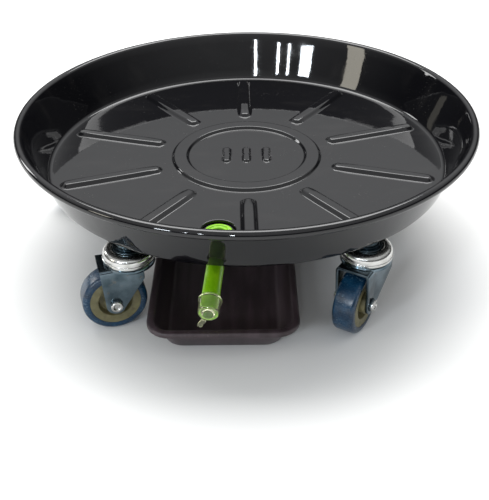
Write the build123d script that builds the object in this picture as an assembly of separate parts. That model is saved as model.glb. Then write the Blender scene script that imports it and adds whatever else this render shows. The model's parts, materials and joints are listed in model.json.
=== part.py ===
from build123d import *
from math import asin, atan2, cos, degrees, hypot, radians, sin, sqrt, tan
import os

os.makedirs("parts", exist_ok=True)

# A round plant pot caddy: a pressed steel pan on five swivel casters, with a drain spout
# under its front and a loose water tray that stands on the floor below the spout.
# Millimetres, +Z up, front towards -Y. The origin is on the ground under the pan's centre.

# ---- pan ----
rim_diameter = 380.0        # over the rolled rim
bead_radius = 3.65          # outside radius of the rolled rim
bead_turn = 295.0           # how far the rim is rolled, degrees
wall_run = 18.95            # how far the wall leans out, floor's edge to the rolled rim's centre
wall_height = 38.4          # floor surface to the centre of the rolled rim
sheet = 1.0                 # pan sheet thickness
floor_bend = 5.0            # bend radius between floor and wall

ring_outer = 64.0           # raised ring pressed into the floor, radius of its foot
ring_inner = 49.0
ring_rise = 2.6
ring_slope = 2.6            # horizontal run of the ring's sloped sides
ring_bend = 1.2

rib_count = 10
first_rib_angle = -125.2
rib_start = 74.0            # radius of a rib's inner end
rib_margin = 7.4            # rib end to the floor's edge
rib_width = 14.6            # width at the foot
rib_rise = 3.0
rib_draft = 53.0            # degrees off vertical

bar_count = 3               # short raised bars in the middle of the ring
bar_length = 27.0
bar_width = 7.6
bar_pitch = 17.0
bar_rise = 1.8

# ---- drain ----
drain_x = -21.6
drain_inset = 49.4          # floor's edge to the drain, front to back
recess_radius = 13.1
recess_depth = 4.6
gasket_radius = 12.6
gasket_thick = 1.2
flange_radius = 10.8
flange_thick = 1.6
flange_dish = 0.8
stem_radius = 7.0
stem_length = 7.0
drain_bore = 5.0
collar_radius = 10.8
collar_height = 4.4
socket_radius = 9.0
socket_height = 11.8
tube_radius = 6.6
tube_bore = 5.1
neck_radius = 5.2
neck_bore = 3.6
neck_length = 9.5           # from the socket's axis to the shoulder
shoulder_length = 5.0
spout_length = 70.6         # from the socket's axis to the open end
spout_drop = 10.2           # slope of the spout, degrees below level
spout_turn = -95.0          # direction of the spout seen from above, degrees
cap_wall = 0.95
cap_cover = 12.8            # length of tube inside the cap
cap_end = 1.5
lip_radius = 1.05
tab_length = 8.0
tab_width = 3.6
tab_thick = 1.3
tab_turn = -28.0            # about the spout's axis, from straight down

# ---- casters ----
caster_names = ["front_left", "front_right", "right", "rear", "left"]
caster_headings = [-164.0, -121.0, -138.0, -152.0, 171.0]   # where each wheel trails, degrees
first_caster_angle = -126.0
caster_inset = 15.4         # floor's edge to the swivel axes
trail = 14.5                # swivel axis to axle
wheel_diameter = 50.0
tyre_width = 17.5
tyre_round = 3.4
tyre_thick = 5.5            # tread to hub
hub_rim_inner = 13.0
hub_boss_radius = 8.0
hub_web = 6.0
hub_inset = 0.35
sleeve_radius = 4.5
sleeve_wall = 1.45
washer_radius = 5.2
washer_thick = 0.8
rivet_head_radius = 4.7
rivet_head_height = 2.3
fork_sheet = 2.0
fork_width = 26.8           # outside, at the trailing end
fork_reach = 24.5           # swivel axis to the trailing edge
wheel_clearance = 5.0       # tyre to the underside of the crown plate
fork_back = 9.0             # how far the legs run ahead of the swivel axis
fork_shoulder = 8.0         # height of the legs' upright leading edge
fork_crease = 8.8           # where the legs start to flare
fork_flare = 16.0           # degrees
fork_bend = 3.0
leg_end_radius = 7.6
seat_radius = 18.8
seat_height = 1.5
crown_radius = 19.6
ring_radius = 20.0          # outside of the swivel's race ring
ring_height = 9.5
ring_opening = 12.5
ring_roof = 2.5
ring_round = 4.4
ball_radius = 2.5
ball_count = 14
ball_circle = 15.4
cone_neck_radius = 11.5
cone_base_height = 5.0
kingpin_radius = 5.0
kingpin_head_radius = 8.6
kingpin_head_height = 2.5
nut_radius = 9.2
nut_height = 9.8
nut_gap = 1.0               # kingpin end to the pan

# ---- water tray ----
tray_width = 114.0
tray_length = 210.0
tray_height = 25.0
tray_side_gap = 3.3         # tray to the front left wheel, straight ahead of it
tray_setback = 15.0         # rim to the tray's front edge
tray_wall = 1.6
tray_flange = 4.0
tray_lip = 4.0
tray_side_slope = 9.0       # how far the sides lean in from top to bottom
tray_end_slope = 12.0
tray_corner = 18.0

# ---- clearances ----
running_gap = 0.05          # radial, on shafts that turn and the cap that slides
free_gap = 0.5              # between faces that move past each other
hub_gap = 0.5               # hub end to fork leg

# ---- worked out ----
wheel_radius = wheel_diameter / 2
hub_radius = wheel_radius - tyre_thick
fork_inside = fork_width / 2 - fork_sheet
fork_top = wheel_diameter + wheel_clearance + fork_sheet
seat_top = fork_top + seat_height
ring_top = seat_top + ring_height
floor_bottom = ring_top + nut_height
floor_top = floor_bottom + sheet
rim_radius = rim_diameter / 2
bead_centre = (rim_radius - bead_radius, floor_top + wall_height)
floor_radius = bead_centre[0] - wall_run
rib_end = floor_radius - rib_margin
drain_y = drain_inset - floor_radius
caster_circle = floor_radius - caster_inset
front_caster_x = caster_circle * cos(radians(first_caster_angle))
tray_centre_x = front_caster_x + wheel_radius - trail + tray_side_gap + tray_width / 2
parts = {}


def turned(points, rounds=None):
    """A solid turned about Z from an outline of (radius, height) points."""
    outline = Plane.XZ * make_face(Polyline(*points, close=True))
    for (x, z), radius in (rounds or {}).items():
        near = Vector(x, 0, z)
        corner = outline.vertices().sort_by(lambda v: (Vector(v) - near).length)[0]
        outline = fillet(corner, radius)
    return revolve(outline, Axis.Z, 360)


def disc(radius, low, high, hole=0.0):
    body = Pos(0, 0, low) * extrude(Circle(radius), high - low)
    if hole:
        body -= Pos(0, 0, low - 1) * extrude(Circle(hole), high - low + 2)
    return body


def tangent(point, centre, radius, side):
    """The point where a line from a point touches a circle, on side +1 (left) or -1 (right)."""
    dx, dz = centre[0] - point[0], centre[1] - point[1]
    reach = hypot(dx, dz)
    heading = atan2(dz, dx) + side * asin(radius / reach)
    run = sqrt(reach**2 - radius**2)
    return (point[0] + run * cos(heading), point[1] + run * sin(heading))


# ---------------------------------------------------------------- pan
def raised(length, width, rise):
    """A drafted bump with round ends, and the hollow that the press leaves under it."""
    inset = sheet * tan(radians(45 - rib_draft / 2))
    pad = extrude(SlotOverall(length, width), rise, taper=rib_draft)
    hollow = extrude(SlotOverall(length - 2 * inset, width - 2 * inset), rise, taper=rib_draft)
    return Pos(0, 0, floor_top) * pad, Pos(0, 0, floor_bottom) * hollow


def pan_shell():
    mid = floor_bottom + sheet / 2
    curl = bead_radius - sheet / 2
    foot = (floor_radius, mid)
    touch = tangent(foot, bead_centre, curl, 1)
    path = FilletPolyline(
        (0, mid),
        (ring_inner, mid),
        (ring_inner + ring_slope, mid + ring_rise),
        (ring_outer - ring_slope, mid + ring_rise),
        (ring_outer, mid),
        foot,
        touch,
        radius=[ring_bend] * 4 + [floor_bend],
    )
    start = degrees(atan2(touch[1] - bead_centre[1], touch[0] - bead_centre[0]))
    roll = CenterArc(bead_centre, curl, start, -bead_turn)
    return revolve(Plane.XZ * trace(path + roll, sheet), Axis.Z, 360)


def make_pan():
    pan = pan_shell()
    pads = []
    hollows = []
    for i in range(rib_count):
        pad, hollow = raised(rib_end - rib_start, rib_width, rib_rise)
        place = Rot(0, 0, first_rib_angle + i * 360 / rib_count) * Pos((rib_start + rib_end) / 2, 0, 0)
        pads.append(place * pad)
        hollows.append(place * hollow)
    for i in range(bar_count):
        pad, hollow = raised(bar_length, bar_width, bar_rise)
        place = Pos((i - (bar_count - 1) / 2) * bar_pitch, 0, 0) * Rot(0, 0, 90)
        pads.append(place * pad)
        hollows.append(place * hollow)
    at_drain = Pos(drain_x, drain_y, 0)
    dish = disc(recess_radius + sheet, floor_bottom - recess_depth, floor_bottom + sheet / 2)
    pads.append(at_drain * dish)
    hollows.append(at_drain * disc(recess_radius, floor_top - recess_depth, floor_top + 1))
    hollows.append(at_drain * disc(stem_radius + running_gap, below_pan - 1, floor_top + 1))
    return pan + pads - hollows


# ---------------------------------------------------------------- drain
seat_z = floor_top - recess_depth
below_pan = floor_bottom - recess_depth
flange_z = seat_z + gasket_thick
collar_top = below_pan - gasket_thick
stem_end = flange_z - stem_length
spout_z = collar_top - socket_height + neck_radius + 1.0
spout_frame = Pos(drain_x, drain_y, spout_z) * Rot(0, 0, spout_turn) * Rot(0, 90 + spout_drop, 0)


def make_drain_flange():
    top = flange_z + flange_thick
    body = turned(
        [
            (drain_bore, stem_end),
            (stem_radius, stem_end),
            (stem_radius, flange_z),
            (flange_radius, flange_z),
            (flange_radius, top - 0.8),
            (flange_radius - 1.6, top),
            (flange_radius - 3.2, top),
            (flange_radius - 4.2, top - flange_dish),
            (drain_bore, top - flange_dish),
        ]
    )
    return Pos(drain_x, drain_y, 0) * body


def make_spout():
    low = collar_top - socket_height
    outer = disc(collar_radius, collar_top - collar_height, collar_top)
    outer += turned(
        [(0, low), (socket_radius, low), (socket_radius, collar_top - 1), (0, collar_top - 1)],
        {(socket_radius, low): 3.0},
    )
    outer = Pos(drain_x, drain_y, 0) * outer
    shoulder_end = neck_length + shoulder_length
    arm = turned(
        [
            (0, 0),
            (neck_radius, 0),
            (neck_radius, neck_length),
            (tube_radius, shoulder_end),
            (tube_radius, spout_length),
            (0, spout_length),
        ]
    )
    way = turned(
        [
            (0, 0),
            (neck_bore, 0),
            (neck_bore, neck_length + 1),
            (tube_bore, shoulder_end + 1),
            (tube_bore, spout_length + 1),
            (0, spout_length + 1),
        ]
    )
    hole = disc(stem_radius, stem_end, collar_top + 1) + disc(drain_bore, low + 2.5, stem_end)
    return outer + spout_frame * arm - spout_frame * way - Pos(drain_x, drain_y, 0) * hole


def make_cap():
    inside = tube_radius + running_gap
    outside = inside + cap_wall
    start = spout_length - cap_cover
    end = spout_length + running_gap
    shell = turned(
        [
            (0, end),
            (inside, end),
            (inside, start),
            (outside, start),
            (outside, end + cap_end),
            (0, end + cap_end),
        ],
        {(outside, end + cap_end): cap_end + 0.6},
    )
    lip = Pos(0, 0, start + lip_radius) * Torus(outside, lip_radius) - disc(inside, start - 1, start + 3)
    tab = Pos(outside + tab_length / 2 - 1.0, 0, end + cap_end - tab_thick / 2)
    tab = tab * Box(tab_length, tab_width, tab_thick)
    tab = fillet(tab.edges().filter_by(Axis.Z).group_by(Axis.X)[-1], tab_width * 0.42)
    tab -= disc(inside, end - 3, end + cap_end + 3)
    return spout_frame * (shell + lip + Rot(0, 0, tab_turn) * tab)


# ---------------------------------------------------------------- casters
def leg_profile():
    """The side view of a fork leg: a face in XZ, with the trailing edge at +X."""
    axle = (trail, wheel_radius)
    front = (fork_reach, fork_top)
    back = (-fork_back, fork_top - fork_shoulder)
    right = tangent(front, axle, leg_end_radius, 1)
    left = tangent(back, axle, leg_end_radius, -1)
    bottom = (trail - 0.5 * leg_end_radius, wheel_radius - sqrt(0.75) * leg_end_radius)
    edge = Polyline(left, back, (-fork_back, fork_top), front, right)
    return Plane.XZ * make_face(edge + ThreePointArc(right, bottom, left))


def make_fork():
    profile = leg_profile()
    depth = 2 * fork_width
    sides = extrude(profile, depth / 2, both=True)
    half = fork_width / 2
    outside = RectangleRounded(fork_width, 2 * fork_top, fork_bend)
    inside = RectangleRounded(2 * fork_inside, 2 * (fork_top - fork_sheet), fork_bend - fork_sheet)
    section = Plane.YZ * (outside - inside)
    channel = Pos(fork_crease, 0, 0) * extrude(section, fork_reach - fork_crease)
    fork = channel & sides
    blank = extrude(profile, fork_sheet / 2, both=True)
    blank &= Pos(fork_crease - depth / 2, 0, fork_top / 2) * Box(depth, depth, 2 * fork_top)
    for side in (-1, 1):
        wing = Pos(-fork_crease, side * fork_sheet / 2, 0) * blank
        wing = Pos(fork_crease, side * fork_inside, 0) * Rot(0, 0, -side * fork_flare) * wing
        fork += wing
    wing_run = fork_crease + fork_back
    spread = half + wing_run * sin(radians(fork_flare)) - 0.5
    tip = fork_crease - wing_run * cos(radians(fork_flare)) + 0.5
    crown = Polygon(
        (fork_crease + 2, half - 1),
        (fork_crease, half - 1),
        (tip, spread),
        (tip, -spread),
        (fork_crease, 1 - half),
        (fork_crease + 2, 1 - half),
        align=None,
    )
    crown += Circle(crown_radius)
    fork += Pos(0, 0, fork_top - fork_sheet) * extrude(crown, fork_sheet)
    fork += turned(
        [
            (0, fork_top - fork_sheet / 2),
            (crown_radius, fork_top - fork_sheet / 2),
            (crown_radius, fork_top),
            (seat_radius, seat_top),
            (0, seat_top),
        ]
    )
    fork -= disc(kingpin_radius + running_gap, 0, seat_top + 1)
    fork -= axle_line(disc(sleeve_radius - sleeve_wall, -fork_width, fork_width))
    return fork


def axle_line(body):
    """Puts a body that is turned about Z on the axle, which lies along Y."""
    return Pos(trail, 0, wheel_radius) * Rot(-90, 0, 0) * body


def make_race_ring():
    cavity = ball_circle + ball_radius + running_gap
    roof = ring_top - ring_roof
    return turned(
        [
            (cavity, seat_top),
            (ring_radius, seat_top),
            (ring_radius, ring_top),
            (ring_opening, ring_top),
            (ring_opening, roof),
            (cavity, roof),
        ],
        {(ring_radius, ring_top): ring_round, (ring_opening, ring_top): 1.6},
    )


def make_balls():
    place = Pos(ball_circle, 0, seat_top + running_gap + ball_radius)
    return [Rot(0, 0, i * 360 / ball_count) * place * Sphere(ball_radius) for i in range(ball_count)]


def make_cone():
    low = seat_top + free_gap
    base = ball_circle - ball_radius - running_gap
    return turned(
        [
            (kingpin_radius, low),
            (base, low),
            (base, low + cone_base_height),
            (cone_neck_radius, low + cone_base_height + 1.2),
            (cone_neck_radius, ring_top),
            (kingpin_radius, ring_top),
        ]
    )


def make_kingpin():
    head_top = fork_top - fork_sheet - free_gap
    head_low = head_top - kingpin_head_height
    return turned(
        [
            (0, head_low),
            (kingpin_head_radius, head_low),
            (kingpin_head_radius, head_top),
            (kingpin_radius, head_top),
            (kingpin_radius, floor_bottom - nut_gap),
            (0, floor_bottom - nut_gap),
        ],
        {(kingpin_head_radius, head_low): 1.4},
    )


def make_weld_nut():
    return turned(
        [
            (kingpin_radius, ring_top),
            (nut_radius - 0.8, ring_top),
            (nut_radius, ring_top + 0.8),
            (nut_radius, floor_bottom),
            (kingpin_radius, floor_bottom),
        ]
    )


def make_tyre():
    half = tyre_width / 2
    body = turned(
        [(hub_radius, -half), (wheel_radius, -half), (wheel_radius, half), (hub_radius, half)],
        {(wheel_radius, -half): tyre_round, (wheel_radius, half): tyre_round},
    )
    return axle_line(body)


def make_hub():
    bore = sleeve_radius + running_gap
    rim = tyre_width / 2 - hub_inset
    web = hub_web / 2
    boss = fork_inside - hub_gap
    upper = [
        (bore, boss),
        (hub_boss_radius - 1, boss),
        (hub_boss_radius, web),
        (hub_rim_inner - 0.8, web),
        (hub_rim_inner, rim),
        (hub_radius, rim),
    ]
    lower = [(r, -z) for r, z in reversed(upper)]
    return axle_line(turned(upper + lower))


def make_sleeve():
    return axle_line(disc(sleeve_radius, -fork_inside, fork_inside, sleeve_radius - sleeve_wall))


def make_washers():
    low = fork_width / 2
    washer = disc(washer_radius, low, low + washer_thick, sleeve_radius - sleeve_wall)
    return [axle_line(washer), axle_line(Rot(180, 0, 0) * washer)]


def make_rivet():
    pin = sleeve_radius - sleeve_wall
    face = fork_width / 2 + washer_thick
    top = face + rivet_head_height
    rounds = {(rivet_head_radius, top): 1.9, (rivet_head_radius, -top): 1.9}
    outline = [
        (0, -top),
        (rivet_head_radius, -top),
        (rivet_head_radius, -face),
        (pin, -face),
        (pin, face),
        (rivet_head_radius, face),
        (rivet_head_radius, top),
        (0, top),
    ]
    return axle_line(turned(outline, rounds))


# ---------------------------------------------------------------- water tray
def make_water_tray():
    top_width = tray_width - 2 * tray_flange
    top_length = tray_length - 2 * tray_flange
    corner = tray_corner - tray_flange

    def sloped(inset, low):
        bottom = RectangleRounded(
            top_width - 2 * tray_side_slope - 2 * inset,
            top_length - 2 * tray_end_slope - 2 * inset,
            corner - inset,
        )
        top = RectangleRounded(top_width - 2 * inset, top_length - 2 * inset, corner - inset)
        return loft([Pos(0, 0, low) * bottom, Pos(0, 0, tray_height) * top])

    brim = RectangleRounded(tray_width, tray_length, tray_corner)
    under = offset(brim, -tray_wall)
    body = sloped(0, 0)
    body += Pos(0, 0, tray_height - tray_lip) * extrude(brim, tray_lip)
    body -= Pos(0, 0, tray_height - tray_lip) * extrude(under, tray_lip - tray_wall) - sloped(0, 0)
    body -= sloped(tray_wall, tray_wall)
    return Pos(tray_centre_x, tray_setback - rim_radius + tray_length / 2, 0) * body


# ---------------------------------------------------------------- assembly
def caster_place(i):
    angle = first_caster_angle + i * 360 / len(caster_names)
    return Rot(0, 0, angle) * Pos(caster_circle, 0, 0) * Rot(0, 0, caster_headings[i] - angle)


def at_each_caster(body):
    return Compound([caster_place(i) * body for i in range(len(caster_names))])


parts["tray_pan"] = make_pan()
parts["weld_nuts"] = at_each_caster(make_weld_nut())
parts["kingpins"] = at_each_caster(make_kingpin())
parts["race_cones"] = at_each_caster(make_cone())
parts["drain_flange"] = make_drain_flange()
parts["drain_gasket"] = Pos(drain_x, drain_y, 0) * disc(gasket_radius, seat_z, flange_z, stem_radius)
parts["lower_gasket"] = Pos(drain_x, drain_y, 0) * disc(collar_radius, collar_top, below_pan, stem_radius)
parts["drain_spout"] = make_spout()
parts["drain_cap"] = make_cap()
parts["water_tray"] = make_water_tray()

caster_pieces = {
    "fork": make_fork(),
    "race_ring": make_race_ring(),
    "bearing_balls": Compound(make_balls()),
    "axle_sleeve": make_sleeve(),
    "axle_rivet": make_rivet(),
    "axle_washers": Compound(make_washers()),
    "hub": make_hub(),
    "tyre": make_tyre(),
}
for i, name in enumerate(caster_names):
    for piece, body in caster_pieces.items():
        parts[f"{piece}_{name}"] = caster_place(i) * body

for name, body in parts.items():
    export_step(body, f"parts/{name}.step")
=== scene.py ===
import json
from math import asin, atan2, cos, pi, radians, sin, sqrt

import bpy
import numpy as np
from mathutils import Matrix, Vector

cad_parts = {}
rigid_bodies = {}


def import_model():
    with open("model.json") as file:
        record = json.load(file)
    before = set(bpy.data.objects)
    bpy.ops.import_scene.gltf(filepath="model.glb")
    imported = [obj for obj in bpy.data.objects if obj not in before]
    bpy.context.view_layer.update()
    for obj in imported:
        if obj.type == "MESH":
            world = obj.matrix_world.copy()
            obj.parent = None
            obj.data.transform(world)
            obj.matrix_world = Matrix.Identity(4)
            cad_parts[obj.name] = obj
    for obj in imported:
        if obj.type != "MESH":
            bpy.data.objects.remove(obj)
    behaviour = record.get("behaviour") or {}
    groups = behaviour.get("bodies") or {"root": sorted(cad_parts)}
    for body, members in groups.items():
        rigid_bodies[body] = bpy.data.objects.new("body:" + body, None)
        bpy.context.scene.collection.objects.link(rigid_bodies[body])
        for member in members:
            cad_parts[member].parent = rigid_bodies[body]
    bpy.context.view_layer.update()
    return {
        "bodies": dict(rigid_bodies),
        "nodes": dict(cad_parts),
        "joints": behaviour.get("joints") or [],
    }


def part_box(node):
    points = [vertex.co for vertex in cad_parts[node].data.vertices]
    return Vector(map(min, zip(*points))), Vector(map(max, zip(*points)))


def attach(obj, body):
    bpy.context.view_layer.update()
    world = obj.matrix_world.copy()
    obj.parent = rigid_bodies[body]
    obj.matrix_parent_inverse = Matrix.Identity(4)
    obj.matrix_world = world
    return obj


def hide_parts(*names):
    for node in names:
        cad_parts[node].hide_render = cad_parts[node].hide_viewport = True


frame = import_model()

MM = 0.001
casters = [body[len("wheel_"):] for body in frame["bodies"] if body.startswith("wheel_")]
joints = {joint["name"]: joint for joint in frame["joints"]}


# ------------------------------------------------------------------ finishes
class Value:
    """A number on a shader socket, which adds Math nodes as it is used in a formula."""

    def __init__(self, finish, socket):
        self.finish = finish
        self.socket = socket

    def _with(self, operation, first, second):
        return self.finish.node("Math", {"operation": operation}, {0: first, 1: second})

    def __add__(self, other):
        return self._with("ADD", self, other)

    def __mul__(self, other):
        return self._with("MULTIPLY", self, other)

    def __rsub__(self, other):
        return self._with("SUBTRACT", other, self)

    __radd__ = __add__
    __rmul__ = __mul__


class Nodes:
    """A node tree, to which nodes are added as a formula uses them."""

    def __init__(self, tree):
        self.tree = tree
        self.tree.nodes.clear()

    def _fill(self, socket, value):
        if isinstance(value, Value):
            self.tree.links.new(value.socket, socket)
        else:
            socket.default_value = value

    def node(self, kind, settings=None, sockets=None, output=0):
        """Adds a node of a kind, with its settings and socket values, and gives one of its outputs."""
        made = self.tree.nodes.new("ShaderNode" + kind)
        for name, value in (settings or {}).items():
            if name == "stops":
                ramp = made.color_ramp.elements
                for i, (place, shade) in enumerate(value):
                    stop = ramp[i] if i < 2 else ramp.new(place)
                    stop.position = place
                    stop.color = (shade, shade, shade, 1.0)
            else:
                setattr(made, name, value)
        for key, value in (sockets or {}).items():
            self._fill(made.inputs[key], value)
        return Value(self, made.outputs[output])

    def place(self, scale=(1, 1, 1), turn=(0, 0, 0), move=(0, 0, 0)):
        coordinates = self.node("TexCoord", output="Object")
        sockets = {"Vector": coordinates, "Scale": scale, "Rotation": turn, "Location": move}
        return self.node("Mapping", {}, sockets)

    def noise(self, size, detail=3.0, where=None, roughness=0.55, distortion=0.0):
        """Cloudy noise whose features are about size metres across."""
        sockets = {"Vector": where or self.place(), "Scale": 1.0 / size, "Detail": detail}
        sockets.update({"Roughness": roughness, "Distortion": distortion})
        return self.node("TexNoise", {}, sockets)

    def mask(self, value, low, high):
        sockets = {"Value": value, "From Min": low, "From Max": high}
        return self.node("MapRange", {"interpolation_type": "SMOOTHSTEP"}, sockets)

    def mix(self, factor, first, second):
        def colour(c):
            return c if isinstance(c, Value) else (*c, 1.0)

        sockets = {0: factor, 6: colour(first), 7: colour(second)}
        return self.node("Mix", {"data_type": "RGBA"}, sockets, output=2)


class Finish(Nodes):
    """A node material for one of the object's finishes."""

    def __init__(self, name, base, roughness, metallic=0.0, **constants):
        self.material = bpy.data.materials.new(name)
        self.material.use_nodes = True
        super().__init__(self.material.node_tree)
        self.surface = self.tree.nodes.new("ShaderNodeBsdfPrincipled")
        output = self.tree.nodes.new("ShaderNodeOutputMaterial")
        self.tree.links.new(self.surface.outputs[0], output.inputs[0])
        self.set("Base Color", (*base, 1.0))
        self.set("Roughness", roughness)
        self.set("Metallic", metallic)
        for socket, value in constants.items():
            self.set(socket.replace("_", " "), value)

    def set(self, socket, value):
        self._fill(self.surface.inputs[socket], value)

    def bump(self, height, depth, strength=1.0):
        """Relief of about depth metres from a height between 0 and 1."""
        sockets = {"Height": height, "Distance": depth, "Strength": strength}
        self.set("Normal", self.node("Bump", {}, sockets))


def black_enamel():
    """Stoved gloss enamel: deep black, with orange peel, fine dust and faint wipe marks."""
    finish = Finish("black_enamel", (0.004, 0.004, 0.005), 0.06, IOR=1.52)
    wipes = finish.noise(0.05, 4.0, finish.place(scale=(1, 2.6, 1), turn=(0, 0, 0.5)))
    dust = finish.mask(finish.noise(0.0011, 1.0), 0.70, 0.78)
    patches = finish.mask(finish.noise(0.03, 3.0), 0.45, 0.7)
    specks = dust * patches
    film = finish.mask(wipes, 0.5, 0.8)
    tone = finish.mix(film, (0.0035, 0.0035, 0.0045), (0.0095, 0.0090, 0.0095))
    finish.set("Base Color", finish.mix(specks * 0.5, tone, (0.12, 0.115, 0.105)))
    finish.set("Roughness", 0.035 + film * 0.07 + specks * 0.35)
    peel = finish.noise(0.0035, 1.0) * 0.35 + finish.noise(0.019, 1.0) * 1.3
    finish.bump(peel, 0.00003)
    return finish.material


def zinc_plate():
    """Bright zinc plate with a steel-blue passivation, rolled grain and dull patches."""
    finish = Finish("zinc_plate", (0.4, 0.46, 0.5), 0.3, 1.0)
    cloud = finish.noise(0.014, 3.0, roughness=0.5)
    grain = finish.noise(0.003, 4.0, finish.place(scale=(1, 1, 7)))
    tint = finish.mask(cloud, 0.3, 0.7)
    stain = finish.mask(finish.noise(0.006, 3.0, finish.place(move=(0.3, 0.1, 0))), 0.6, 0.75)
    plate = finish.mix(tint, (0.060, 0.088, 0.106), (0.155, 0.20, 0.23))
    finish.set("Base Color", finish.mix(stain * 0.4, plate, (0.19, 0.17, 0.14)))
    finish.set("Roughness", 0.12 + grain * 0.13 + stain * 0.12)
    finish.bump(grain * 0.4 + cloud, 0.00003)
    return finish.material


def polished_plate():
    """The race ring's satin-polished plate, with hair scratches that run round it."""
    finish = Finish("polished_plate", (0.78, 0.78, 0.76), 0.12, 1.0)
    hair = finish.noise(0.0016, 4.0, finish.place(scale=(1, 1, 14)))
    cloud = finish.noise(0.007, 3.0)
    plate = finish.mix(finish.mask(cloud, 0.4, 0.7), (0.60, 0.60, 0.585), (0.44, 0.44, 0.42))
    finish.set("Base Color", plate)
    finish.set("Roughness", 0.16 + finish.mask(hair, 0.5, 0.75) * 0.14 + cloud * 0.08)
    finish.bump(hair * 0.3 + cloud, 0.00003)
    return finish.material


def blue_tread():
    """Dark blue polyurethane with mould grain, and short pale streaks where it has rolled: partly scuffs,
    partly painted sheen.
    """
    finish = Finish("blue_tread", (0.01, 0.04, 0.1), 0.4, IOR=1.5)
    cloud = finish.noise(0.009, 4.0)
    # The pale streaks below are partly real scuffs and partly a painted highlight that stands in for shine
    # streaks on the glossy tread.
    scuff_and_sheen_place = finish.place(scale=(1, 1, 2.5))
    scuff_and_sheen = finish.mask(finish.noise(0.0019, 5.0, scuff_and_sheen_place, roughness=0.7), 0.55, 0.66)
    worn = finish.mask(finish.noise(0.016, 2.0, finish.place(move=(0.2, 0, 0))), 0.42, 0.62)
    grain = finish.noise(0.0006, 2.0)
    blue = finish.mix(finish.mask(cloud, 0.3, 0.7), (0.002, 0.018, 0.043), (0.006, 0.042, 0.092))
    # Painted sheen: pale streaks mixed into the blue, partly scuffs and partly painted highlight streaks.
    finish.set("Base Color", finish.mix(scuff_and_sheen * worn * 0.85, blue, (0.11, 0.19, 0.26)))
    finish.set("Roughness", 0.20 + grain * 0.12 + scuff_and_sheen * 0.2)
    finish.bump(grain * 0.5 + scuff_and_sheen * worn * 0.8 + cloud, 0.00006)
    return finish.material


def olive_nylon():
    """Unpainted nylon, a little blotchy, with a fine satin skin."""
    finish = Finish("olive_nylon", (0.2, 0.18, 0.08), 0.42, Subsurface_Weight=0.05)
    finish.set("Subsurface Radius", (0.002, 0.0016, 0.0008))
    cloud = finish.noise(0.011, 3.0)
    grime = finish.mask(finish.noise(0.005, 4.0, finish.place(move=(0, 0.2, 0.1))), 0.52, 0.72)
    nylon = finish.mix(finish.mask(cloud, 0.3, 0.7), (0.115, 0.105, 0.045), (0.19, 0.17, 0.085))
    finish.set("Base Color", finish.mix(grime * 0.5, nylon, (0.05, 0.045, 0.03)))
    finish.set("Roughness", 0.36 + cloud * 0.16 + grime * 0.15)
    finish.bump(finish.noise(0.0008, 2.0) + cloud, 0.00006)
    return finish.material


def green_plastic():
    """Lime green polypropylene with flow marks and a soft gloss."""
    finish = Finish("green_plastic", (0.2, 0.5, 0.005), 0.22, Subsurface_Weight=0.1)
    finish.set("Subsurface Radius", (0.003, 0.004, 0.001))
    flow = finish.noise(0.012, 3.0, finish.place(scale=(2.2, 0.7, 2.2)), distortion=0.6)
    grain = finish.noise(0.0009, 2.0)
    plastic = finish.mix(finish.mask(flow, 0.3, 0.7), (0.19, 0.48, 0.004), (0.30, 0.63, 0.010))
    finish.set("Base Color", plastic)
    finish.set("Roughness", 0.17 + flow * 0.1 + grain * 0.07)
    finish.bump(grain * 0.4 + flow, 0.00005)
    return finish.material


def clear_silicone():
    """Clear soft silicone with a slightly hazy skin and a few specks of dust."""
    finish = Finish("clear_silicone", (0.93, 0.95, 0.90), 0.05, IOR=1.36, Transmission_Weight=0.94)
    haze = finish.noise(0.006, 3.0)
    dust = finish.mask(finish.noise(0.0009, 1.0), 0.70, 0.78)
    finish.set("Base Color", finish.mix(dust * 0.4, (0.96, 0.99, 0.66), (0.70, 0.68, 0.44)))
    finish.set("Roughness", 0.01 + finish.mask(haze, 0.5, 0.8) * 0.05 + dust * 0.1)
    finish.bump(haze + finish.noise(0.0012, 2.0) * 0.2, 0.00003)
    return finish.material


def black_rubber():
    """Moulded black rubber with a fine pebble and a slight shine."""
    finish = Finish("black_rubber", (0.006, 0.006, 0.006), 0.35)
    grain = finish.noise(0.0007, 3.0)
    bloom = finish.mask(finish.noise(0.005, 3.0), 0.5, 0.75)
    finish.set("Base Color", finish.mix(bloom, (0.004, 0.004, 0.004), (0.012, 0.012, 0.012)))
    finish.set("Roughness", 0.28 + grain * 0.16)
    finish.bump(grain, 0.00004)
    return finish.material


def brown_black_plastic():
    """Recycled moulded plastic: brown-black, satin grain, flow streaks, scuffs and dust."""
    finish = Finish("brown_black_plastic", (0.022, 0.016, 0.019), 0.4)
    streak = finish.noise(0.022, 5.0, finish.place(scale=(2.4, 0.35, 1.0)), distortion=0.4)
    grain = finish.noise(0.0007, 3.0)
    scratch_place = finish.place(scale=(6.0, 0.5, 6.0), turn=(0, 0, 0.35))
    scratch = finish.mask(finish.noise(0.006, 5.0, scratch_place), 0.64, 0.74)
    patches = finish.mask(finish.noise(0.02, 2.0), 0.45, 0.65)
    dust = finish.mask(finish.noise(0.0013, 1.0), 0.70, 0.77) * patches
    body = finish.mix(finish.mask(streak, 0.35, 0.7), (0.030, 0.0195, 0.0225), (0.060, 0.041, 0.048))
    worn = finish.mix(scratch * 0.35, body, (0.075, 0.062, 0.066))
    finish.set("Base Color", finish.mix(dust * 0.6, worn, (0.22, 0.20, 0.18)))
    finish.set("Roughness", 0.27 + grain * 0.16 + streak * 0.10 + dust * 0.2)
    finish.bump(grain * 0.6 + streak + scratch * 0.3, 0.00008)
    return finish.material


enamel = black_enamel()
zinc = zinc_plate()
polished = polished_plate()
tread = blue_tread()
nylon = olive_nylon()
green = green_plastic()
silicone = clear_silicone()
rubber = black_rubber()
tray_plastic = brown_black_plastic()


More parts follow.
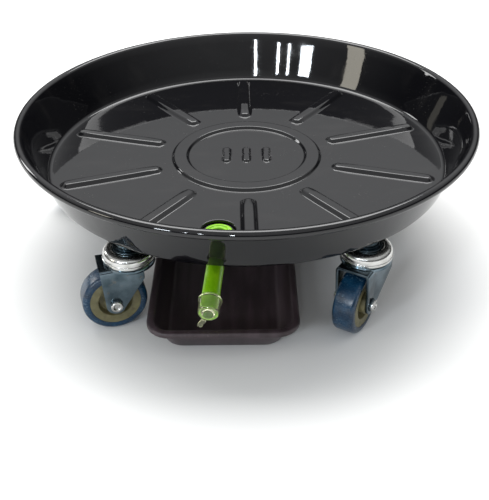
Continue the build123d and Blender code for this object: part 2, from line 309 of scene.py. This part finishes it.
# ------------------------------------------------------------------ modelling
def nothing_selected():
    if bpy.context.object and bpy.context.object.mode != "OBJECT":
        bpy.ops.object.mode_set(mode="OBJECT")
    bpy.ops.object.select_all(action="DESELECT")


def only(piece):
    nothing_selected()
    piece.select_set(True)
    bpy.context.view_layer.objects.active = piece


def rounded(points, rounds, steps=5):
    """The points with arcs in place of chosen corners; rounds maps a point's index to a radius."""
    out = []
    for i, point in enumerate(points):
        radius = rounds.get(i)
        if not radius:
            out.append(point)
            continue
        here = Vector(point)
        back = (Vector(points[i - 1]) - here).normalized()
        on = (Vector(points[(i + 1) % len(points)]) - here).normalized()
        half = back.angle(on) / 2
        centre = here + (back + on).normalized() * radius / sin(half)
        first = here + back * radius / np.tan(half) - centre
        last = here + on * radius / np.tan(half) - centre
        for k in range(steps + 1):
            t = k / steps
            arm = first.slerp(last, t) if first.angle(last) < 3.1 else first.lerp(last, t)
            out.append(tuple(centre + arm.normalized() * radius))
    return out


def outline(name, points):
    """An open line of vertices through (radius, height) points in millimetres, extruded one by one."""
    nothing_selected()
    bpy.ops.mesh.primitive_plane_add(size=MM, location=(0, 0, 0))
    piece = bpy.context.object
    piece.name = name
    bpy.ops.object.mode_set(mode="EDIT")
    bpy.ops.mesh.select_all(action="SELECT")
    bpy.ops.mesh.merge(type="CENTER")
    here = Vector((0, 0))
    for i, point in enumerate(points):
        step = (Vector(point) - here) * MM
        here = Vector(point)
        if i == 0:
            bpy.ops.transform.translate(value=(step.x, 0, step.y))
        else:
            bpy.ops.mesh.extrude_vertices_move(TRANSFORM_OT_translate={"value": (step.x, 0, step.y)})
    return piece


def spun(name, points, steps=72, closed=True):
    """A piece turned about Z from its section's (radius, height) points."""
    piece = outline(name, list(points) + ([points[0]] if closed else []))
    bpy.ops.mesh.select_all(action="SELECT")
    bpy.ops.mesh.spin(steps=steps, angle=2 * pi, center=(0, 0, 0), axis=(0, 0, 1))
    bpy.ops.mesh.select_all(action="SELECT")
    bpy.ops.mesh.remove_doubles(threshold=MM * 0.002)
    bpy.ops.mesh.select_all(action="SELECT")
    bpy.ops.mesh.normals_make_consistent(inside=False)
    bpy.ops.object.mode_set(mode="OBJECT")
    return piece


def smooth(piece, angle=35):
    only(piece)
    bpy.ops.object.shade_smooth_by_angle(angle=radians(angle))


def finished(piece, material, body, slot, *nodes):
    piece.data.materials.clear()
    piece.data.materials.append(material)
    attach(piece, body)
    if nodes:
        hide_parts(*nodes)
    return piece


def placed(piece, matrix):
    piece.data.transform(matrix)
    piece.data.update()
    return piece


def copied(piece, name):
    copy = piece.copy()
    copy.data = piece.data.copy()
    copy.name = name
    bpy.context.scene.collection.objects.link(copy)
    return copy


# ------------------------------------------------------------------ pan
low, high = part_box("tray_pan")
rim_radius = high.x / MM
rim_top = high.z / MM
sheet = 1.0
bead = 3.65
bead_turn = 295
wall_height = 38.4
wall_run = 18.95
floor_top = rim_top - bead - wall_height
floor_radius = rim_radius - bead - wall_run
floor_bend = 5.0

rib_count = 10
rib_first = radians(-125.2)
rib_half = 7.3
rib_rise = 3.0
rib_slope = 4.4
rib_span = (74.0, floor_radius - 7.4)
ring_span = (49.0, 64.0)
ring_rise = 2.6
ring_slope = 2.6
bar_places = (-17.0, 0.0, 17.0)
bar_half_length = 13.5
bar_half = 3.8
bar_rise = 1.8
bar_slope = 1.6
recess_radius = 13.1
recess_depth = 4.6
hole_radius = 7.05
dish_overlap = 0.02
dish_radius = 14.3
dish_cut = 13.9

drain_low, drain_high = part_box("drain_flange")
drain = ((drain_low + drain_high) / 2).to_2d() / MM


def press(across, rise, slope):
    """Height of pressed sheet where it is across millimetres inside a raised shape's foot."""
    t = np.clip(across / slope, 0, 1)
    return rise * t * t * (3 - 2 * t)


def pressed_height(x, y):
    """How far the press raises the floor at a point, in millimetres."""
    radius = np.hypot(x, y)
    middle = (ring_span[0] + ring_span[1]) / 2
    height = press((ring_span[1] - ring_span[0]) / 2 - abs(radius - middle), ring_rise, ring_slope)
    for i in range(rib_count):
        angle = rib_first + i * 2 * pi / rib_count
        along = x * cos(angle) + y * sin(angle)
        side = y * cos(angle) - x * sin(angle)
        over = along - np.clip(along, rib_span[0] + rib_half, rib_span[1] - rib_half)
        height = np.maximum(height, press(rib_half - np.hypot(over, side), rib_rise, rib_slope))
    for place in bar_places:
        over = y - np.clip(y, bar_half - bar_half_length, bar_half_length - bar_half)
        height = np.maximum(height, press(bar_half - np.hypot(over, x - place), bar_rise, bar_slope))
    return height


def floor_rings():
    """Radii of the rings of vertices on the floor: close together where the press has edges."""
    stretches = [
        (0.0, 25.0, 1.0),
        (25.0, 47.5, 6.0),
        (47.5, 52.5, 0.55),
        (52.5, 60.5, 3.0),
        (60.5, 65.0, 0.55),
        (65.0, 73.0, 4.0),
        (73.0, 79.0, 0.6),
        (79.0, 154.5, 9.0),
        (154.5, 161.0, 0.6),
        (161.0, floor_radius - 4.0, 1.2),
    ]
    rings = []
    for start, end, step in stretches:
        count = max(1, round((end - start) / step))
        rings += [start + (end - start) * k / count for k in range(count)]
    return rings


def pan_section():
    """The sheet's two faces as one closed section, from the centre of the floor out and back."""
    mid = floor_top - sheet / 2
    centre = Vector((rim_radius - bead, floor_top + wall_height))
    curl = bead - sheet / 2
    to_bead = centre - Vector((floor_radius, mid))
    heading = atan2(to_bead.y, to_bead.x) + asin(curl / to_bead.length)
    run = sqrt(to_bead.length**2 - curl**2)
    start = heading + pi / 2
    bend = floor_bend / np.tan((pi - heading) / 2)

    def face(side):
        radius = floor_bend - side * sheet / 2
        points = [(r, mid + side * sheet / 2) for r in floor_rings()]
        for k in range(8):
            turn = heading * k / 7
            points.append((floor_radius - bend + radius * sin(turn), mid + floor_bend - radius * cos(turn)))
        for k in range(1, 6):
            along = bend + (run - bend) * k / 6
            foot = Vector((floor_radius + along * cos(heading), mid + along * sin(heading)))
            points.append(tuple(foot + Vector((-sin(heading), cos(heading))) * side * sheet / 2))
        for k in range(31):
            turn = start - radians(bead_turn) * k / 30
            reach = curl + side * sheet / 2
            points.append((centre.x + reach * cos(turn), centre.y + reach * sin(turn)))
        return points

    return face(1) + face(-1)[::-1]


HALF_ROWS = [0, 1.5, 2.6, 3.0, 3.4, 3.9, 4.5, 5.1, 5.7, 6.3, 6.8, 7.2, 7.6, 8.4]
ROWS = [-across for across in HALF_ROWS[:0:-1]] + HALF_ROWS
GAPS = 11


def along_ribs(piece, steps):
    """Moves each spoke of vertices so that the spokes near a rib run parallel to it."""
    count = len(piece.data.vertices)
    places = np.zeros(count * 3)
    piece.data.vertices.foreach_get("co", places)
    places = places.reshape(-1, 3)
    x, y = places[:, 0] / MM, places[:, 1] / MM
    radius = np.hypot(x, y)
    spoke = np.round(np.arctan2(y, x) / (2 * pi) * steps).astype(int) % steps
    per_rib = len(ROWS) + GAPS - 1
    rib, row = spoke // per_rib, spoke % per_rib
    held = np.clip(radius, 60.0, floor_radius)
    edge = np.arcsin(ROWS[-1] / held)
    near = np.arcsin(np.array(ROWS)[np.minimum(row, len(ROWS) - 1)] / held)
    between = edge + (2 * pi / rib_count - 2 * edge) * (row - len(ROWS) + 1) / GAPS
    angle = rib_first + rib * 2 * pi / rib_count + np.where(row < len(ROWS), near, between)
    x, y = radius * np.cos(angle), radius * np.sin(angle)
    flat = (places[:, 2] < (floor_top + 0.01) * MM) & (radius < floor_radius - 3)
    rise = np.where(flat, pressed_height(x, y), 0.0)
    places[:, 0], places[:, 1] = x * MM, y * MM
    places[:, 2] += rise * MM
    piece.data.vertices.foreach_set("co", places.ravel())
    piece.data.update()


def cut(piece, cutter):
    """Cuts a tool's shape out of a piece."""
    only(piece)
    bpy.ops.object.modifier_add(type="BOOLEAN")
    piece.modifiers[-1].operation = "DIFFERENCE"
    piece.modifiers[-1].object = cutter
    bpy.ops.object.modifier_apply(modifier=piece.modifiers[-1].name)
    bpy.data.objects.remove(cutter)


def make_pan():
    steps = rib_count * (len(ROWS) + GAPS - 1)
    pan = spun("enamelled_pan", pan_section(), steps, closed=False)
    along_ribs(pan, steps)
    nothing_selected()
    place = (drain.x * MM, drain.y * MM, floor_top * MM)
    bpy.ops.mesh.primitive_cylinder_add(vertices=96, radius=dish_cut * MM, depth=20 * MM, location=place)
    cut(pan, bpy.context.object)
    smooth(pan, 40)
    finished(pan, enamel, "pan", "pan_enamel", "tray_pan")
    seat = floor_top - recess_depth
    dish = [
        (dish_radius, floor_top + dish_overlap),
        (recess_radius, floor_top + dish_overlap),
        (recess_radius, seat),
        (hole_radius, seat),
        (hole_radius, seat - sheet),
        (recess_radius + sheet, seat - sheet),
        (recess_radius + sheet, floor_top - sheet / 2),
        (dish_radius, floor_top - sheet / 2),
    ]
    dish = rounded(dish, {1: 0.8, 2: 0.9, 5: 1.6})
    drain_dish = spun("drain_dish", dish, 96)
    placed(drain_dish, Matrix.Translation((drain.x * MM, drain.y * MM, 0)))
    smooth(drain_dish)
    finished(drain_dish, enamel, "pan", "pan_enamel")


make_pan()

# ------------------------------------------------------------------ drain
gasket_thick = 1.2
gasket_z = floor_top - recess_depth
flange_z = gasket_z + gasket_thick
flange_radius = 10.8
flange_thick = 1.6
collar_z = gasket_z - sheet - gasket_thick
stem_bore = 5.0
stem_radius = 6.95
stem_end = flange_z - 7.0
seal_bore = 7.0
socket_radius = 9.0
socket_height = 11.8
socket_floor = 2.5
spout_drop = 5.6
spout_radius = 6.6
spout_bore = 5.1
spout_end = 70.6
cap_cover = 12.8
cap_radius = 7.6
cap_end = 1.5
lip_radius = 1.05
pull = Vector(joints["drain_cap_pull"]["axis"])
at_drain = Matrix.Translation((drain.x * MM, drain.y * MM, 0))
spout_frame = Matrix.Translation((drain.x * MM, drain.y * MM, (collar_z - spout_drop) * MM))
spout_frame @= Matrix.Rotation(atan2(pull.y, pull.x), 4, "Z")
spout_frame @= Matrix.Rotation(pi / 2 + asin(-pull.z), 4, "Y")


def joined(name, *pieces):
    """Several pieces made into one."""
    only(pieces[0])
    for piece in pieces:
        piece.select_set(True)
    bpy.ops.object.join()
    pieces[0].name = name
    return pieces[0]


def make_flange():
    top = flange_z + flange_thick
    section = [
        (stem_bore, stem_end),
        (stem_radius, stem_end),
        (stem_radius, flange_z),
        (flange_radius, flange_z),
        (flange_radius, top),
        (8.9, top),
        (8.2, top - 0.8),
        (7.6, top - 0.8),
        (7.1, top - 0.25),
        (5.6, top - 0.25),
        (stem_bore, top - 1.0),
    ]
    section = rounded(section, {3: 0.25, 4: 0.7, 5: 0.5, 6: 0.25, 7: 0.2, 8: 0.3, 9: 0.3})
    flange = placed(spun("moulded_flange", section, 96), at_drain)
    smooth(flange, 50)
    finished(flange, green, "pan", "drain_green", "drain_flange")
    ring = [
        (seal_bore, gasket_z),
        (12.7, gasket_z),
        (12.7, gasket_z + 2.0),
        (10.95, gasket_z + 2.0),
        (10.95, flange_z),
        (seal_bore, flange_z),
    ]
    upper = placed(spun("drain_seal", rounded(ring, {1: 0.3, 2: 0.85, 3: 0.5}), 96), at_drain)
    smooth(upper, 50)
    finished(upper, rubber, "pan", "gasket_black", "drain_gasket")
    seal_top = collar_z + gasket_thick
    ring = [
        (seal_bore, collar_z),
        (flange_radius, collar_z),
        (flange_radius, seal_top),
        (seal_bore, seal_top),
    ]
    lower = placed(spun("under_seal", rounded(ring, {1: 0.35, 2: 0.35}), 72), at_drain)
    smooth(lower, 50)
    finished(lower, rubber, "pan", "gasket_black", "lower_gasket")


def make_spout():
    low = collar_z - socket_height
    section = [
        (0, low),
        (socket_radius, low),
        (socket_radius, collar_z - 4.4),
        (flange_radius, collar_z - 4.4),
        (flange_radius, collar_z),
        (seal_bore, collar_z),
        (seal_bore, stem_end),
        (stem_bore, stem_end),
        (stem_bore, low + socket_floor),
        (0, low + socket_floor),
    ]
    section = rounded(section, {1: 2.8, 2: 0.5, 3: 0.6, 4: 0.4})
    socket = placed(spun("socket", section, 72, closed=False), at_drain)
    section = [
        (3.6, 4.0),
        (5.2, 4.0),
        (5.2, 9.5),
        (spout_radius, 14.5),
        (spout_radius, spout_end),
        (spout_bore, spout_end),
        (spout_bore, 15.5),
        (3.6, 10.5),
    ]
    section = rounded(section, {2: 2.5, 3: 2.5, 4: 0.5, 5: 0.4})
    arm = placed(spun("arm", section, 72), spout_frame)
    spout = joined("moulded_spout", socket, arm)
    smooth(spout, 40)
    finished(spout, green, "pan", "drain_green", "drain_spout")


def make_cap():
    start = spout_end - cap_cover
    inside = spout_radius + 0.05
    end = spout_end + 0.05
    section = [(0, end - 3.4), (1.8, end - 3.1), (3.4, end - 2.1), (4.5, end - 0.6), (4.7, end)]
    section += [(inside, end), (inside, start)]
    for k in range(13):
        turn = -pi / 2 + pi * k / 12
        section.append((cap_radius + lip_radius * cos(turn), start + lip_radius + lip_radius * sin(turn)))
    section += [(cap_radius, start + 2.4), (cap_radius, end + cap_end), (0, end + cap_end)]
    section = rounded(section, {len(section) - 2: 2.6}, 8)
    cap = spun("cap", section, 72, closed=False)
    nothing_selected()
    size = (8.4 * MM, 3.8 * MM, 1.3 * MM)
    bpy.ops.mesh.primitive_cube_add(size=1, location=(11.2 * MM, 0, (end + 0.75) * MM), scale=size)
    bpy.ops.object.transform_apply(location=True, rotation=True, scale=True)
    tab = bpy.context.object
    tip = max(vertex.co.x for vertex in tab.data.vertices)
    bpy.ops.object.mode_set(mode="EDIT")
    bpy.ops.mesh.select_mode(type="EDGE")
    bpy.ops.mesh.select_all(action="DESELECT")
    bpy.ops.object.mode_set(mode="OBJECT")
    for edge in tab.data.edges:
        ends = [tab.data.vertices[i].co for i in edge.vertices]
        edge.select = all(abs(point.x - tip) < 1e-6 for point in ends) and abs(ends[0].y - ends[1].y) < 1e-6
    bpy.ops.object.mode_set(mode="EDIT")
    bpy.ops.mesh.bevel(offset=1.6 * MM, segments=6)
    bpy.ops.mesh.select_all(action="SELECT")
    bpy.ops.mesh.bevel(offset=0.25 * MM, segments=2)
    bpy.ops.mesh.select_mode(type="VERT")
    bpy.ops.object.mode_set(mode="OBJECT")
    tab = placed(tab, Matrix.Rotation(radians(-28), 4, "Z"))
    cap = placed(joined("silicone_cap", cap, tab), spout_frame)
    smooth(cap, 45)
    finished(cap, silicone, "drain_cap", "cap_clear", "drain_cap")


make_flange()
make_spout()
make_cap()

# ------------------------------------------------------------------ casters
wheel_radius = 25.0
tyre_half = 8.75
hub_radius = 19.5
trail = 14.5
pin_radius = 5.0
race_radius = 20.0
race_bottom = 58.5
race_top = 68.0
pan_bottom = 77.8
axle_frame = Matrix.Translation((trail * MM, 0, wheel_radius * MM)) @ Matrix.Rotation(-pi / 2, 4, "X")


def caster_frame(name):
    """The place of a caster modelled with its swivel on Z and its wheel trailing towards +X."""
    middle = joints[name + "_swivel"]["pos_m"]
    axle = joints[name + "_wheel"]["axis"]
    return Matrix.Translation((middle[0], middle[1], 0)) @ Matrix.Rotation(atan2(-axle[0], axle[1]), 4, "Z")


def at_casters(master, kind, material, body, slot):
    """Copies a caster's piece to every caster, in place of the CAD nodes of that kind."""
    for name in casters:
        piece = placed(copied(master, f"{master.name}_{name}"), caster_frame(name))
        finished(piece, material, f"{body}_{name}", slot, f"{kind}_{name}")
    bpy.data.objects.remove(master)


def under_pan(master, name, node):
    """One piece with a copy of a turned part over every caster, in place of a CAD node."""
    copies = [placed(copied(master, f"{name}_{caster}"), caster_frame(caster)) for caster in casters]
    bpy.data.objects.remove(master)
    finished(joined(name, *copies), zinc, "pan", "zinc_steel", node)


def make_wheels():
    half = [(hub_radius, -8.5), (20.0, -tyre_half), (wheel_radius, -tyre_half)]
    tyre = half + [(radius, -side) for radius, side in reversed(half)]
    tyre = placed(spun("cast_tyre", rounded(tyre, {2: 2.9, 3: 2.9}, 8), 96), axle_frame)
    smooth(tyre, 50)
    at_casters(tyre, "tyre", tread, "wheel", "tyre_blue")
    half = [(4.55, 10.9), (8.0, 10.9), (8.0, 3.0), (12.4, 3.0), (13.0, 8.4), (hub_radius, 8.4)]
    section = half + [(radius, -side) for radius, side in reversed(half)]
    rounds = {1: 0.8, 2: 0.7, 3: 0.7, 4: 0.8, 5: 0.35, 6: 0.35, 7: 0.8, 8: 0.7, 9: 0.7, 10: 0.8}
    hub = placed(spun("moulded_hub", rounded(section, rounds), 96), axle_frame)
    smooth(hub, 50)
    at_casters(hub, "hub", nylon, "wheel", "hub_nylon")


def make_axles():
    half = [(0, 15.2), (1.8, 15.2), (2.3, 16.0), (3.1, 16.5), (4.7, 16.2), (4.7, 14.25), (3.05, 14.25)]
    section = half + [(radius, -side) for radius, side in reversed(half)]
    rounds = {1: 0.2, 3: 0.5, 4: 1.0, 5: 0.2, 8: 0.2, 9: 1.0, 10: 0.5, 12: 0.2}
    rivet = placed(spun("flared_rivet", rounded(section, rounds), 48, closed=False), axle_frame)
    smooth(rivet, 50)
    at_casters(rivet, "axle_rivet", polished, "swivel", "zinc_steel")
    washers = []
    for side in (1, -1):
        ring = [(3.05, 13.4), (5.2, 13.4), (5.2, 14.2), (3.05, 14.2)]
        ring = [(radius, side * height) for radius, height in rounded(ring, {1: 0.2, 2: 0.25})]
        washers.append(placed(spun("washer", ring, 48), axle_frame))
    washers = joined("pressed_washers", *washers)
    smooth(washers, 50)
    at_casters(washers, "axle_washers", zinc, "swivel", "zinc_steel")


def make_swivels():
    ring = [
        (17.95, race_bottom),
        (race_radius, race_bottom),
        (race_radius, 60.7),
        (19.5, 61.1),
        (19.5, race_top),
        (12.5, race_top),
        (12.5, 65.5),
        (17.95, 65.5),
    ]
    ring = rounded(ring, {1: 0.7, 2: 0.5, 3: 0.4, 4: 5.0, 5: 1.1, 6: 0.3}, 9)
    race = spun("pressed_race", ring, 96)
    smooth(race, 50)
    at_casters(race, "race_ring", polished, "swivel", "race_chrome")
    cone = [(pin_radius, 59.0), (12.85, 59.0), (12.85, 64.0), (11.5, 65.2), (11.5, race_top)]
    cone.append((pin_radius, race_top))
    cone = spun("cone", rounded(cone, {1: 0.4, 2: 0.6, 3: 0.5, 4: 0.5}), 72)
    smooth(cone, 50)
    under_pan(cone, "turned_cones", "race_cones")
    nut = [(pin_radius, race_top), (9.2, race_top), (9.2, pan_bottom), (pin_radius, pan_bottom)]
    nut = spun("nut", rounded(nut, {1: 0.9, 2: 0.3}), 72)
    smooth(nut, 50)
    under_pan(nut, "turned_nuts", "weld_nuts")
    pin_end = pan_bottom - 1.0
    pin = [(0, 52.0), (8.6, 52.0), (8.6, 54.5), (pin_radius, 54.5), (pin_radius, pin_end), (0, pin_end)]
    pin = spun("pin", rounded(pin, {1: 1.5, 2: 0.4, 3: 0.4, 4: 0.6}), 72, closed=False)
    smooth(pin, 50)
    under_pan(pin, "turned_kingpins", "kingpins")


def sharp_copy(node, name):
    """A copy of a CAD node's mesh with its triangles merged into faces, ready for a bevel."""
    nothing_selected()
    copy = node.copy()
    copy.data = node.data.copy()
    copy.name = name
    for key in list(copy.keys()):
        del copy[key]
    copy.parent = None
    bpy.context.scene.collection.objects.link(copy)
    only(copy)
    bpy.ops.object.mode_set(mode="EDIT")
    bpy.ops.mesh.select_all(action="SELECT")
    bpy.ops.mesh.remove_doubles(threshold=MM * 0.002)
    bpy.ops.mesh.select_all(action="SELECT")
    bpy.ops.mesh.dissolve_limited(angle_limit=radians(2))
    bpy.ops.mesh.select_all(action="SELECT")
    bpy.ops.mesh.normals_make_consistent(inside=False)
    bpy.ops.object.mode_set(mode="OBJECT")
    return copy


def bevelled(piece, width, segments=3, angle=35):
    only(piece)
    bpy.ops.object.modifier_add(type="BEVEL")
    edge = piece.modifiers[-1]
    edge.width = width * MM
    edge.segments = segments
    edge.limit_method = "ANGLE"
    edge.angle_limit = radians(angle)
    edge.use_clamp_overlap = True
    edge.harden_normals = False
    bpy.ops.object.modifier_apply(modifier=edge.name)


def make_forks():
    fork = sharp_copy(frame["nodes"]["fork_" + casters[0]], "pressed_fork")
    placed(fork, caster_frame(casters[0]).inverted())
    bevelled(fork, 0.35)
    smooth(fork, 30)
    at_casters(fork, "fork", zinc, "swivel", "zinc_steel")


make_wheels()
make_axles()
make_swivels()
make_forks()
for name in casters:
    for kind, material in (("bearing_balls", polished), ("axle_sleeve", zinc)):
        for material_slot in frame["nodes"][f"{kind}_{name}"].material_slots:
            material_slot.material = material


# ------------------------------------------------------------------ water tray
def ringed(name, rings, corner_steps=8):
    """A closed piece from a stack of round-cornered rectangles.

    Each is (half length, half width, corner radius, height), in millimetres.
    """
    count = 4 * (corner_steps + 1)
    nothing_selected()
    bpy.ops.mesh.primitive_circle_add(vertices=count, radius=1, fill_type="NGON")
    piece = bpy.context.object
    piece.name = name
    bpy.ops.object.mode_set(mode="EDIT")
    bpy.ops.mesh.select_all(action="SELECT")
    for i in range(len(rings) - 1):
        bpy.ops.mesh.extrude_region_move(TRANSFORM_OT_translate={"value": (0, 0, 1)})
    bpy.ops.object.mode_set(mode="OBJECT")
    for vertex in piece.data.vertices:
        half_y, half_x, corner, height = rings[round(vertex.co.z)]
        k = round(atan2(vertex.co.y, vertex.co.x) / (2 * pi) * count) % count
        quarter, step = divmod(k, corner_steps + 1)
        turn = (quarter + step / corner_steps) * pi / 2
        x = (half_x - corner) * (1 if quarter in (0, 3) else -1) + corner * cos(turn)
        y = (half_y - corner) * (1 if quarter in (0, 1) else -1) + corner * sin(turn)
        vertex.co = (x * MM, y * MM, height * MM)
    only(piece)
    bpy.ops.object.mode_set(mode="EDIT")
    bpy.ops.mesh.select_all(action="SELECT")
    bpy.ops.mesh.normals_make_consistent(inside=False)
    bpy.ops.object.mode_set(mode="OBJECT")
    return piece


def make_tray():
    low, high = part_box("water_tray")
    middle = (low + high) / 2
    half = (high - low) / 2 / MM
    side, end = 9.0, 12.0
    tray_height, tray_sheet, lip = 25.0, 1.6, 4

    def wall(height, inset):
        """The ring where the sloped wall is at a height, inset from its outer face."""
        drop = 1 - height / tray_height
        corner = 14 - inset
        return (half.y - lip - end * drop - inset, half.x - lip - side * drop - inset, corner, height)

    def brim(inset, height):
        return (half.y - inset, half.x - inset, 18 - inset, height)

    def inside(height, inset=tray_sheet):
        return wall(height, inset)

    rings = [(half.y - 34, half.x - 30, 6, tray_sheet)]
    for back, up in ((3.2, 0.0), (1.7, 0.25), (0.6, 0.95), (0.1, 1.9)):
        ring = inside(tray_sheet + up)
        rings.append((ring[0] - back, ring[1] - back, max(ring[2] - back, 4), tray_sheet + up))
    rings.append(inside(12.0))
    rings.append(inside(23.4))
    rings.append(inside(24.3, 1.35))
    rings.append(inside(24.85, 0.8))
    rings.append(inside(25.0, 0.0))
    rings += [brim(1.5, 25.0), brim(0.6, 24.75), brim(0.15, 24.2), brim(0.0, 23.4)]
    rings += [brim(0.0, 21.4), brim(0.15, 21.1), brim(0.5, 21.0), brim(1.1, 21.0), brim(1.45, 21.2)]
    rings += [brim(1.6, 21.6), brim(1.6, 23.4)]
    rings += [wall(23.4, 0.0), wall(12.0, 0.0), wall(2.2, 0.0)]
    for back, height in ((0.5, 1.1), (1.4, 0.35), (2.8, 0.0)):
        ring = wall(height, 0.0)
        rings.append((ring[0] - back, ring[1] - back, ring[2] - back, height))
    tray = placed(ringed("moulded_tray", rings), Matrix.Translation((middle.x, middle.y, 0)))
    smooth(tray, 40)
    finished(tray, tray_plastic, "water_tray", "tray_plastic", "water_tray")


make_tray()


# ------------------------------------------------------------------ stage
def make_stage():
    nothing_selected()
    bpy.ops.mesh.primitive_plane_add(size=14, location=(0, 0, 0))
    floor = bpy.context.object
    floor.name = "floor"
    paper = Finish("paper", (0.80, 0.80, 0.79), 0.7)
    paper.set("Base Color", paper.mix(paper.noise(0.4, 2.0), (0.80, 0.80, 0.79), (0.84, 0.84, 0.83)))
    floor.data.materials.append(paper.material)


def make_world():
    """A pale room: bright above and behind the object, dimmer low down and behind the camera."""
    world = bpy.data.worlds.new("room")
    bpy.context.scene.world = world
    world.use_nodes = True
    room = Nodes(world.node_tree)
    direction = room.node("TexCoord", output="Generated")
    up = room.node("SeparateXYZ", {}, {"Vector": direction}, output="Z")
    back = room.node("SeparateXYZ", {}, {"Vector": direction}, output="Y")
    overhead = 0.02 + room.mask(up, 0.12, 0.6) * 0.70
    behind = room.mask(back, -0.1, 0.9) * room.mask(up, 0.25, 0.7) * 0.45
    seen = room.node("LightPath", output="Is Camera Ray")
    strength = (overhead + behind) * (1.0 - seen) + seen * 0.92
    sockets = {"Color": (0.98, 0.99, 1.0, 1.0), "Strength": strength}
    background = room.node("Background", {}, sockets)
    output = room.tree.nodes.new("ShaderNodeOutputWorld")
    room.tree.links.new(background.socket, output.inputs[0])


def make_light(name, place, target, size, power, tint=(1, 1, 1)):
    data = bpy.data.lights.new(name, "AREA")
    data.shape = "RECTANGLE"
    data.size, data.size_y = size
    data.energy = power
    data.color = tint
    lamp = bpy.data.objects.new(name, data)
    bpy.context.scene.collection.objects.link(lamp)
    lamp.location = place
    lamp.rotation_euler = (Vector(target) - Vector(place)).to_track_quat("-Z", "Y").to_euler()


def make_camera():
    data = bpy.data.cameras.new("camera")
    data.lens = 61.8
    data.sensor_width = 36
    camera = bpy.data.objects.new("camera", data)
    bpy.context.scene.collection.objects.link(camera)
    camera.location = (0, -0.6574, 0.4219)
    camera.rotation_euler = (radians(56.13), radians(0.61), radians(-0.17))
    bpy.context.scene.camera = camera


make_stage()
make_world()
make_light("top", (0, 0.9, 2.2), (0, 0, 0), (2.4, 1.4), 75)
for place, width, height, power in (
    (-0.24, 0.03, 0.24, 2.0),
    (-0.72, 0.05, 0.16, 2.5),
    (-0.98, 0.04, 0.20, 2.0),
    (-1.48, 0.30, 0.30, 14),
):
    name = f"window_{round(-place * 100)}"
    make_light(name, (place, -1.95, 1.0), (0, 0.1, 0.1), (width, height), power, (0.86, 0.93, 1.0))
make_light("shelf", (-2.2, -0.9, 0.95), (0, 0, 0.05), (0.45, 0.6), 5, (1.0, 0.95, 0.82))
make_light("left", (-1.6, 0.9, 0.7), (0, 0, 0.05), (0.3, 0.5), 4)
make_camera()
bpy.context.scene.view_settings.view_transform = "Standard"
